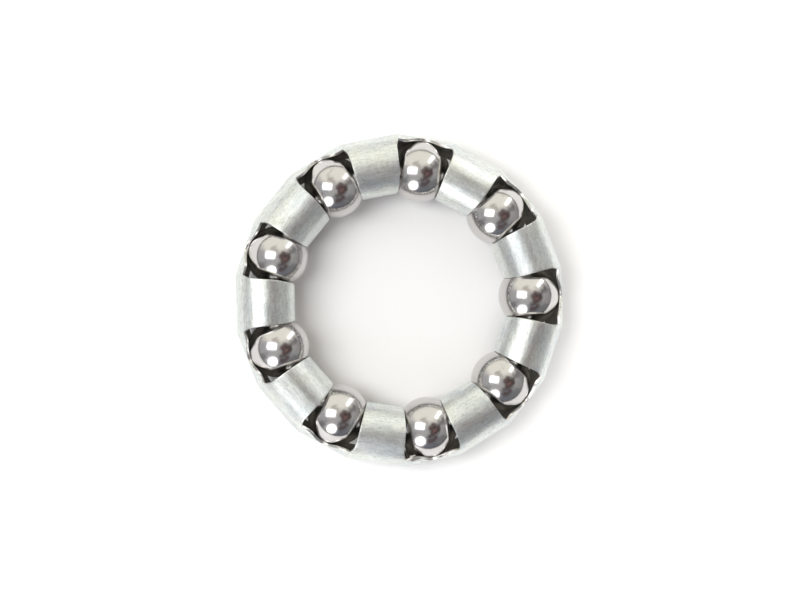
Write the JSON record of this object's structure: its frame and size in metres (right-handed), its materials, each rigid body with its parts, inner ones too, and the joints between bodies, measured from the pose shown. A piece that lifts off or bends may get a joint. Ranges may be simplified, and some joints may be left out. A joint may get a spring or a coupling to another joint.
{
  "type": "thrust ball bearing",
  "caption": "Caged ball set for a cup-and-cone thrust race: steel balls, each free to roll, in windows of a bent sheet-steel ring cage open towards the shaft.",
  "frame": {"origin": "centre of the ball circle, in the plane of the ball centres", "axes": "+Z along the ring's axis towards the closed side of the cage; +X outward through the first ball's pocket"},
  "size_m": [0.0428, 0.0436, 0.008],
  "materials": {
    "cage_steel": "bright zinc-plated, satin with fine rolling marks",
    "ball_steel": "ground and polished to a mirror"
  },
  "bodies": {
    "cage": {"cage": "cage_steel"},
    "ball_1": {"ball_1": "ball_steel"},
    "ball_2": {"ball_2": "ball_steel"},
    "ball_3": {"ball_3": "ball_steel"},
    "ball_4": {"ball_4": "ball_steel"},
    "ball_5": {"ball_5": "ball_steel"},
    "ball_6": {"ball_6": "ball_steel"},
    "ball_7": {"ball_7": "ball_steel"},
    "ball_8": {"ball_8": "ball_steel"},
    "ball_9": {"ball_9": "ball_steel"}
  },
  "joints": [
    {"name": "ball_1_spin", "type": "hinge", "parent": "cage", "child": "ball_1", "pos_m": [0.017, 0.00018, 0], "axis": [0.7071, 0.0074, 0.7071], "continuous": true},
    {"name": "ball_2_spin", "type": "hinge", "parent": "cage", "child": "ball_2", "pos_m": [0.01297, 0.011, 0], "axis": [0.5393, 0.4573, 0.7071], "continuous": true},
    {"name": "ball_3_spin", "type": "hinge", "parent": "cage", "child": "ball_3", "pos_m": [0.00295, 0.01674, 0], "axis": [0.1228, 0.6964, 0.7071], "continuous": true},
    {"name": "ball_4_spin", "type": "hinge", "parent": "cage", "child": "ball_4", "pos_m": [-0.00827, 0.01485, 0], "axis": [-0.3439, 0.6179, 0.7071], "continuous": true},
    {"name": "ball_5_spin", "type": "hinge", "parent": "cage", "child": "ball_5", "pos_m": [-0.01589, 0.00604, 0], "axis": [-0.661, 0.2511, 0.7071], "continuous": true},
    {"name": "ball_6_spin", "type": "hinge", "parent": "cage", "child": "ball_6", "pos_m": [-0.01597, -0.00581, 0], "axis": [-0.6645, -0.2418, 0.7071], "continuous": true},
    {"name": "ball_7_spin", "type": "hinge", "parent": "cage", "child": "ball_7", "pos_m": [-0.00847, -0.01474, 0], "axis": [-0.3525, -0.613, 0.7071], "continuous": true},
    {"name": "ball_8_spin", "type": "hinge", "parent": "cage", "child": "ball_8", "pos_m": [0.00316, -0.0167, 0], "axis": [0.1313, -0.6948, 0.7071], "continuous": true},
    {"name": "ball_9_spin", "type": "hinge", "parent": "cage", "child": "ball_9", "pos_m": [0.01308, -0.01086, 0], "axis": [0.544, -0.4517, 0.7071], "continuous": true}
  ]
}
